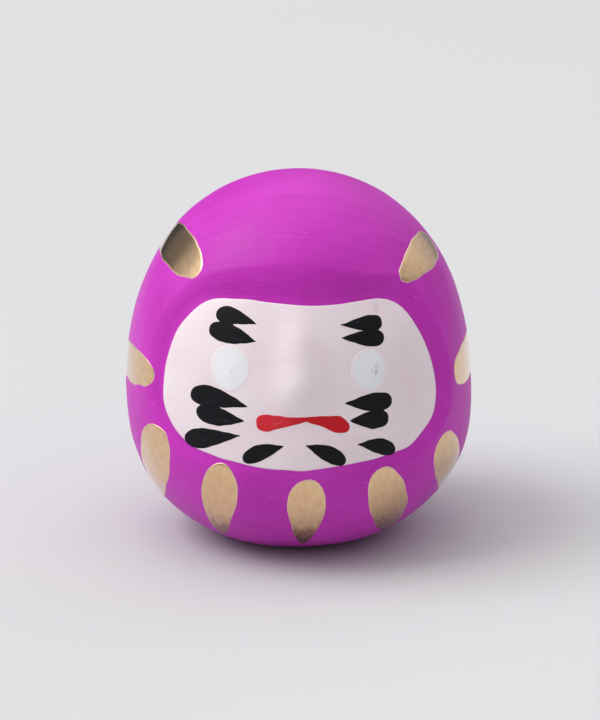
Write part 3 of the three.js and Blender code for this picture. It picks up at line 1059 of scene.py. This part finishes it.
def cut_sheet(
    depth: np.ndarray, xs: np.ndarray, ys: np.ndarray
) -> tuple[np.ndarray, list[tuple[int, ...]], list[tuple[int, int]]]:
    """Cuts a sheet out of a grid where depth is above zero.

    Args:
        depth: Values at the grid's points, by row and column.
        xs: The columns' places.
        ys: The rows' places.

    Returns:
        The sheet's points, its faces, and its edge as pairs of points.
    """
    kept = depth > 0
    number = np.full(depth.shape, -1)
    number[kept] = np.arange(kept.sum())
    rows, columns = np.nonzero(kept)
    points = [*np.stack([xs[columns], ys[rows]], axis=-1)]
    corners = [(0, 0), (0, 1), (1, 1), (1, 0)]
    height, width = depth.shape[0] - 1, depth.shape[1] - 1
    cells = np.stack([kept[r : height + r, c : width + c] for r, c in corners])
    whole = np.argwhere(cells.all(axis=0))
    faces = [tuple(int(number[j + r, i + c]) for r, c in corners) for j, i in whole]
    edge_points: dict[tuple, int] = {}
    rim: list[tuple[int, int]] = []

    def crossing(a: tuple[int, int], b: tuple[int, int]) -> int:
        """Finds or adds the point where the outline crosses a grid line.

        Args:
            a: The row and column of one end of the line.
            b: Those of the other end.

        Returns:
            The point's number.
        """
        key = (min(a, b), max(a, b))
        if key not in edge_points:
            share = depth[a] / (depth[a] - depth[b])
            start, stop = np.array([xs[a[1]], ys[a[0]]]), np.array([xs[b[1]], ys[b[0]]])
            edge_points[key] = len(points)
            points.append(start + share * (stop - start))
        return edge_points[key]

    for j, i in np.argwhere(cells.any(axis=0) & ~cells.all(axis=0)):
        ring = [(int(j + r), int(i + c)) for r, c in corners]
        face: list[int] = []
        crossings: list[tuple[bool, int]] = []
        for here, there in zip(ring, ring[1:] + ring[:1]):
            if kept[here]:
                face.append(int(number[here]))
            if kept[here] != kept[there]:
                point = crossing(here, there)
                face.append(point)
                crossings.append((bool(kept[here]), point))
        faces.append(tuple(face))
        for index, (leaving, point) in enumerate(crossings):
            if leaving:
                rim.append((point, crossings[(index + 1) % len(crossings)][1]))
    return np.array(points), faces, rim


class Patch:
    """A patch of paint on a chart, inside any of its closed edges."""

    def edges(self, chart: Chart) -> list[np.ndarray]:
        """The points of each edge, in order."""
        raise NotImplementedError

    def extent(self, chart: Chart) -> tuple[np.ndarray, np.ndarray]:
        """The lowest and highest corner on a chart."""
        points = np.concatenate(self.edges(chart))
        return points.min(axis=0), points.max(axis=0)

    def depths(self, chart: Chart, points: np.ndarray) -> np.ndarray:
        """How far points are inside each edge."""
        return np.array([inside_distance(points, edge) for edge in self.edges(chart)])

    def lay(self, chart: Chart, points: np.ndarray) -> np.ndarray:
        """Where points lie along and across the brushing, which is straight across the chart."""
        return points


@dataclass(frozen=True)
class Presses(Patch):
    """The outline of one or more presses that run together."""

    presses: tuple[Press, ...]
    lay_step: float = 40.0  # so that no two presses are streaked alike

    def edges(self, chart: Chart) -> list[np.ndarray]:
        """The edge of each press."""
        return [press.outline(chart) for press in self.presses]

    def lay(self, chart: Chart, points: np.ndarray) -> np.ndarray:
        """How far points are along and across the press that they are in."""
        lays = [p.lay(chart, points) + self.lay_step * i for i, p in enumerate(self.presses)]
        return np.array(lays)[self.depths(chart, points).argmax(axis=0), np.arange(len(points))]


@dataclass(frozen=True)
class Oval(Patch):
    """An oval patch of paint."""

    centre: Place
    half_width: float
    half_height: float

    def edges(self, chart: Chart) -> list[np.ndarray]:
        """Draws the oval.

        Args:
            chart: The chart it is drawn on.

        Returns:
            Its one edge.
        """
        turn = np.linspace(0.0, 2.0 * math.pi, 72, endpoint=False)
        size = np.array([self.half_width, self.half_height])
        ring = size * np.stack([np.cos(turn), np.sin(turn)], axis=-1)
        return [chart.drawn(direction(*self.centre)) + ring]

    def lay(self, chart: Chart, points: np.ndarray) -> np.ndarray:
        """How far points are from the oval's centre, across and up."""
        return points - chart.drawn(direction(*self.centre))


@dataclass(frozen=True)
class Window(Patch):
    """The face window's painted outline."""

    form: BodyForm

    def edges(self, chart: Chart) -> list[np.ndarray]:
        """The window's one edge."""
        return [chart.drawn(direction(*self.form.face_outline.T))]


@dataclass(frozen=True)
class Nib:
    """The little peak that a brush leaves when it is lifted off thick paint.

    Attributes:
        centre: Where it is, from the middle of its eye, in millimetres.
        tall: How high its ring stands.
        reach: How far the ring reaches across and up.
        hollow: How deep its middle is, as a share of its height.
        dome: The height of the low dome that it stands on.
    """

    centre: Place
    tall: float
    reach: Place = (0.34, 0.62)
    hollow: float = 0.55
    dome: float = 0.06

    def near(self, points: np.ndarray, spread_by: float = 1.0) -> np.ndarray:
        """1 at the nib, fading to 0 beyond its reach times a factor."""
        away = (points - np.array(self.centre)) / (np.array(self.reach) * spread_by)
        return np.exp(-(away**2).sum(axis=-1))

    def height(self, points: np.ndarray) -> np.ndarray:
        """Heights at chart points: a ring-shaped peak on a low dome."""
        ring = self.near(points) - self.hollow * self.near(points, 0.4)
        return self.tall * ring + self.dome * self.near(points, 3.2)


def chart_at(form: BodyForm, place: Place) -> Chart:
    """A chart that lies on the body at a place."""
    return Chart.at(place, float(form.radius(direction(*place))))


@dataclass
class FacePanel:
    """The painted face window and the marks on it."""

    build: Builder
    coat: Film = Film(0.05, 0.0, Ripple(0.02, 5.0, 31), 0.2, 0.2)
    mark: Film = Film(0.06, 0.05, Ripple(0.018, 1.9, 32), 0.1, 0.16)
    white: Film = Film(0.035, 0.05, Ripple(0.035, 2.2, 33), 0.12, 1.0)
    brushed: dict[str, tuple[Press, ...]] = field(default_factory=lambda: {
        "brow_left": (
            Press((-32.0, 35.8), (-15.4, 34.1), 1.16, belly=0.3, taper=1.35, bow=0.12),
            Press((-34.0, 31.1), (-15.2, 28.9), 1.32, belly=0.42, bluntness=2.5, bow=-0.05),
        ),
        "brow_right": (
            Press((32.1, 33.2), (15.5, 33.9), 1.12, belly=0.3, bluntness=2.6, taper=1.3, bow=0.12),
            Press((31.9, 28.5), (15.4, 30.0), 1.19, belly=0.3, bluntness=2.3, taper=1.4, bow=0.1),
        ),
        "whisker_left": (
            Press((-38.9, 9.5), (-17.0, 7.7), 1.48, belly=0.34, bluntness=2.3, taper=1.4, bow=0.28),
            Press((-36.3, 4.0), (-18.2, 2.8), 1.34, belly=0.4, bluntness=2.4, bow=-0.1),
        ),
        "whisker_right": (
            Press((33.0, 8.0), (15.9, 9.0), 1.31, belly=0.36, bluntness=2.5, bow=0.05),
            Press((31.5, 2.4), (17.4, 2.9), 1.29, bluntness=2.5, bow=0.05),
        ),
        "beard_side_left": (
            Press((-40.9, -6.5), (-19.4, -2.2), 1.42, belly=0.34, taper=1.25, bow=0.1),
        ),
        "beard_side_right": (
            Press((34.0, -9.4), (19.9, -5.2), 1.1, belly=0.4, taper=1.6, bow=-0.38),
        ),
        "beard_chin_left": (
            Press((-18.7, -10.4), (-4.9, -4.9), 1.12, belly=0.4, taper=1.6, bow=0.25),
        ),
        "beard_chin_right": (
            Press((15.8, -11.0), (2.4, -4.6), 1.1, belly=0.4, taper=1.7, bow=-0.25),
        ),
    })
    mouth: tuple[Press, ...] = (
        Press((-14.2, 2.3), (8.0, 4.6), 1.18, belly=0.2, bluntness=3.0, taper=0.82),
        Press((17.3, 0.6), (-3.0, 4.7), 1.16, belly=0.24, bluntness=2.1, taper=0.82, bow=-0.32),
    )
    eyes: dict[str, tuple[Oval, Nib]] = field(default_factory=lambda: {
        "eye_white_left": (Oval((-24.2, 19.75), 2.84, 3.12), Nib((0.3, -0.5), 0.025)),
        "eye_white_right": (Oval((25.0, 18.85), 2.65, 2.95), Nib((0.85, 0.1), 0.09)),
    })
    # How strongly the grey scratch marks show round each eye's nib, for each millimetre of the
    # nib's height.
    nib_greying: float = 11.0
    mouth_middle: Place = (1.5, 4.0)
    red_from: float = 0.4
    red_fade: float = 5.0
    rubbed_at: Place = (31.0, 37.8)
    rubbed_reach: Place = (0.3, 0.6)

    def made(self) -> None:
        """Builds the face coat, the eyes, the brush marks and the mouth."""
        form, add = self.build.form, self.build.add
        draft = self.coat.laid(form, form.face_chart, Window(form))
        away = draft.values[LAY][:, :2] - form.face_chart.drawn(direction(*self.rubbed_at))
        draft.values["rubbed_and_reflected_shade"] = np.exp(-((away / np.array(self.rubbed_reach)) ** 2).sum(axis=-1))
        add(draft, "face_paint_film", "face_coat", Finish.FACE)
        for node, (oval, nib) in self.eyes.items():
            draft = self.white.laid(form, chart_at(form, oval.centre), oval, nib)
            near_nib = nib.near(draft.values[LAY][:, :2], 1.1)
            draft.values["near_nib"] = self.nib_greying * nib.tall * near_nib
            add(draft, f"{node}_film", node, Finish.EYE)
        for node, presses in self.brushed.items():
            draft = self.mark.laid(form, chart_at(form, presses[0].middle()), Presses(presses))
            add(draft, f"{node}_stroke", node, Finish.INK)
        draft = self.mark.laid(form, chart_at(form, self.mouth_middle), Presses(self.mouth))
        draft.values["across_mouth"] = eased(draft.points[:, 0] / self.red_fade + self.red_from)
        add(draft, "mouth_stroke", "mouth", Finish.MOUTH)


@dataclass
class GoldDrops:
    """The nine gold drops painted round the face window."""

    build: Builder
    film: Film = Film(0.035, 0.0, Ripple(0.05, 3.6, 41), 0.12, 0.35)
    # The height below which the painted reflection of the shaded floor starts darkening the gold,
    # and the height over which it fades in.
    shade_reflection_below: float = 10.5
    shade_reflection_fade: float = 8.0
    drops: dict[str, Press] = field(default_factory=lambda: {
        "top_left": Press((-43.1, 45), (-107, 47), 2.7, belly=0.42, bluntness=2.4, taper=2.2),
        "side_left": Press((-55.4, 11.8), (-114, 7), 2.7, belly=0.4, bluntness=2.5, taper=1.8),
        "low_left": Press(
            (-50.2, -5), (-75, -36), 3.7, belly=0.36, bluntness=2.3, taper=1.9, tip_width=0.3
        ),
        "front_left": Press(
            (-25.2, -12.5), (-40.6, -49), 2.78, belly=0.32, taper=1.35, tip_width=0.15
        ),
        "front_centre": Press(
            (3.1, -16.3), (2, -51), 2.7, belly=0.32, bluntness=2.6, taper=1.2, tip_width=0.12
        ),
        "front_right": Press(
            (27.8, -14.4), (50, -48), 2.95, bluntness=2.4, taper=1.9, tip_width=0.3
        ),
        "low_right": Press(
            (53.2, -8.6), (80, -34), 3.2, belly=0.36, bluntness=2.3, taper=1.7, tip_width=0.3
        ),
        "side_right": Press((62.2, 10.4), (113, 13), 3.05, belly=0.4, bluntness=2.5, taper=1.8),
        "top_right": Press(
            (86, 48.6), (44.8, 43.4), 2.4, belly=0.42, bluntness=2.6, taper=1.8, tip_width=0.35
        ),
    })

    def made(self) -> None:
        """Builds each drop."""
        form = self.build.form
        for place, drop in self.drops.items():
            node = f"gold_drop_{place}"
            draft = self.film.laid(form, chart_at(form, drop.middle()), Presses((drop,)))
            height = draft.points[:, 2]
            # Painted reflection: a share that grows towards the floor and darkens the gold low
            # down.
            draft.values["low_down"] = eased((self.shade_reflection_below - height) / self.shade_reflection_fade)
            self.build.add(draft, f"{node}_film", node, Finish.GOLD)


@dataclass
class Core:
    """The paper shell, the clay weight and the pasted strips under the paint."""

    build: Builder
    columns: int = 160
    inset: float = 0.5
    shoulder: float = 4.7
    spigot_top: float = 8.2
    hollow_radius: float = 9.0
    hollow_depth: float = 1.6
    wall: float = 1.9
    foot_shares: tuple[float, ...] = (0.12, 0.3, 0.5, 0.68, 0.82, 0.92, 0.975)
    dents: Ripple = Ripple(0.03, 3.0, 51)
    dent_shares: tuple[float, ...] = (1, 1, 1, 1, 0.6, 0.2, 0)
    halvings: int = 30

    def _ring(self, radius: np.ndarray | float, height: float) -> np.ndarray:
        """A ring of points at one height, of one radius or of a radius for each point."""
        a = np.radians(np.linspace(-180.0, 180.0, self.columns, endpoint=False))
        return np.stack([radius * np.sin(a), -radius * np.cos(a), np.full_like(a, height)], -1)

    def _girth(self, height: float, inset: float) -> np.ndarray:
        """Finds the ring of the body's form at a height, by halving.

        Args:
            height: The height.
            inset: How far inside the painted surface the ring lies.

        Returns:
            The radius of each of its points.
        """
        form = self.build.form
        low, high = np.zeros(self.columns), np.full(self.columns, form.half_width + form.half_depth)
        for _ in range(self.halvings):
            middle = (low + high) / 2.0
            d = self._ring(middle, height - form.widest_height)
            length = np.linalg.norm(d, axis=-1)
            outside = length > form.radius(d / length[:, None]) - inset
            high, low = np.where(outside, middle, high), np.where(outside, low, middle)
        return low

    def _weight(self) -> Draft:
        """Shapes the clay weight, from the middle of its foot to the middle of its top.

        Returns:
            Its closed mesh.
        """
        # Its rings are the flat foot, the foot's soft edge, the side, the spigot and its hollow.
        foot = self._girth(0.02, self.inset)
        rings = [self._ring(foot * share, 0.0) for share in self.foot_shares]
        rings.append(self._ring(foot * 0.995, 0.012))
        for z in np.linspace(0.06, self.shoulder, 18):
            rings.append(self._ring(self._girth(z, self.inset), z))
        spigot_inset = self.inset + self.wall
        for z in (self.shoulder, *np.linspace(self.shoulder + 0.4, self.spigot_top, 6)):
            rings.append(self._ring(self._girth(z, spigot_inset), z))
        for share in np.linspace(1.0, 0.12, 10):
            height = self.spigot_top - self.hollow_depth * (1 - share**2)
            rings.append(self._ring(self.hollow_radius * share, height))
        body = np.array(rings)
        foot_rings = body[: len(self.foot_shares)]
        lifts = np.array(self.dent_shares)[:, None]
        foot_rings[..., 2] += np.maximum(self.dents.at(foot_rings), 0.0) * lifts
        ends = np.array([[0.0, 0.0, 0.0], [0.0, 0.0, self.spigot_top - self.hollow_depth]])
        points = np.concatenate([ends[:1], body.reshape(-1, 3), ends[1:]])
        return Draft(points, rings_closed(len(rings), self.columns))

    def made(self) -> None:
        """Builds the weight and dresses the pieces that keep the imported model's shape."""
        self.build.add(self._weight(), "clay_base", "clay_weight", Finish.CLAY)
        kept = {
            "paper_shell": Finish.PAPER,
            "back_seam_strip": Finish.WASHI,
            "base_seam_strip": Finish.WASHI,
        }
        for node, finish in kept.items():
            self.build.paintbox.dress(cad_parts[node], finish)
            log.info("%s: kept, dressed as %s", node, finish.value[0])


# ---- Studio -------------------------------------------------------------------------


@dataclass(frozen=True)
class SoftLight:
    """A large soft light that faces the doll."""

    name: str
    at: Triple
    size: float
    power: float
    colour: Colour

    def made(self, aim: Vector) -> None:
        """Hangs the light.

        Args:
            aim: The point that it faces.
        """
        light = bpy.data.lights.new(self.name, "AREA")
        light.shape, light.size = "SQUARE", self.size
        light.energy, light.color = self.power, self.colour
        lamp = placed(self.name, light)
        lamp.location = self.at
        lamp.rotation_euler = (aim - Vector(self.at)).to_track_quat("-Z", "Y").to_euler()


@dataclass
class Studio:
    """The pale floor, the light and the camera."""

    target: Triple = (0.22, 0.0, 25.3)
    elevation: float = 16.0
    distance: float = 290.0
    lens: float = 100.0
    floor_colour: Colour = srgb(203, 204, 205)
    air: Colour = srgb(251, 249, 251)
    walls: float = 0.255
    overhead: float = 0.85
    left: float = 0.62
    right: float = 0.3
    corner_shade: float = 0.75
    front_shade: float = 0.1
    floor_reach: float = 4.0
    key: SoftLight = SoftLight("key", (-4.15, -0.6, 4.95), 4.0, 216.0, (0.985, 0.985, 0.985))
    key_aim: Triple = (0.0, 0.0, 0.025)

    def _floor(self) -> None:
        """Lays the floor."""
        mesh = bpy.data.meshes.new("floor")
        reach = self.floor_reach
        corners = [(x * reach, y * reach, 0) for x, y in ((-1, -1), (1, -1), (1, 1), (-1, 1))]
        mesh.from_pydata(corners, [], [(0, 1, 2, 3)])
        material, b = new_material("floor_paper")
        grain = b.noise(b.place(), 900.0, 3.0)
        b.surface(self.floor_colour, 0.85 + 0.1 * grain, b.bump(grain, 0.05, 0.15), specular=0.2)
        mesh.materials.append(material)
        placed("floor", mesh)

    def _room(self) -> None:
        """Fills the room with pale light that is darker behind and to the left."""
        world = bpy.data.worlds.new("room")
        world.use_nodes = True
        bpy.context.scene.world = world
        b = Bench(world.node_tree)
        towards = b.signal("ShaderNodeTexCoord", {}, {}, "Generated")

        def facing(x: float, y: float, z: float) -> Signal:
            """How nearly a direction points at a part of the room, up to 1."""
            sockets = {0: towards, 1: tuple(Vector((x, y, z)).normalized())}
            return b.signal("ShaderNodeVectorMath", {"operation": "DOT_PRODUCT"}, sockets, "Value")

        ceiling = facing(0.0, 0.0, 1.0).eased(0.15, 1.0)
        window = facing(-0.68, 0.15, 0.7).eased(0.45, 0.95)
        backdrop = facing(0.66, 0.58, 0.48).eased(0.8, 0.99)
        corner = facing(-0.5, 0.84, 0.25).eased(0.72, 0.96)
        front = facing(0.0, -1.0, 0.1).eased(0.1, 0.9)
        glow = self.walls + self.overhead * ceiling + self.left * window + self.right * backdrop
        glow = glow * (1.0 - self.corner_shade * corner) * (1.0 - self.front_shade * front)
        light = b.signal("ShaderNodeBackground", {}, {"Color": self.air, "Strength": glow})
        b.node("ShaderNodeOutputWorld", {}, {"Surface": light})

    def _camera(self) -> None:
        """Sets up the camera in front of the doll, a little above it."""
        lens = bpy.data.cameras.new("camera")
        lens.lens, lens.sensor_width = self.lens, 36.0
        lens.clip_start, lens.clip_end = 0.01, 20.0
        camera = placed("camera", lens)
        rise = math.radians(self.elevation)
        aim = Vector(self.target) * MM
        back = Vector((0.0, -math.cos(rise), math.sin(rise)))
        camera.location = aim + back * self.distance * MM
        camera.rotation_euler = (-back).to_track_quat("-Z", "Y").to_euler()
        bpy.context.scene.camera = camera

    def made(self) -> None:
        """Sets up the floor, the room, the light and the camera."""
        self._floor()
        self._room()
        self.key.made(Vector(self.key_aim))
        self._camera()
        bpy.context.scene.view_settings.view_transform = "Standard"


def body_form() -> BodyForm:
    """The body's form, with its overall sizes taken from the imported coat."""
    low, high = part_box("magenta_coat")
    return BodyForm(half_width=-low.x / MM, half_depth=high.y / MM, height=high.z / MM)


def main() -> None:
    """Builds the doll and its studio."""
    logging.basicConfig(level=logging.INFO, format="%(name)s: %(message)s")
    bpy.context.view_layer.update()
    build = Builder(body_form(), Paintbox())
    for part in (Core(build), RobeCoat(build), FacePanel(build), GoldDrops(build)):
        part.made()
    Studio().made()


if __name__ == "__main__":
    main()
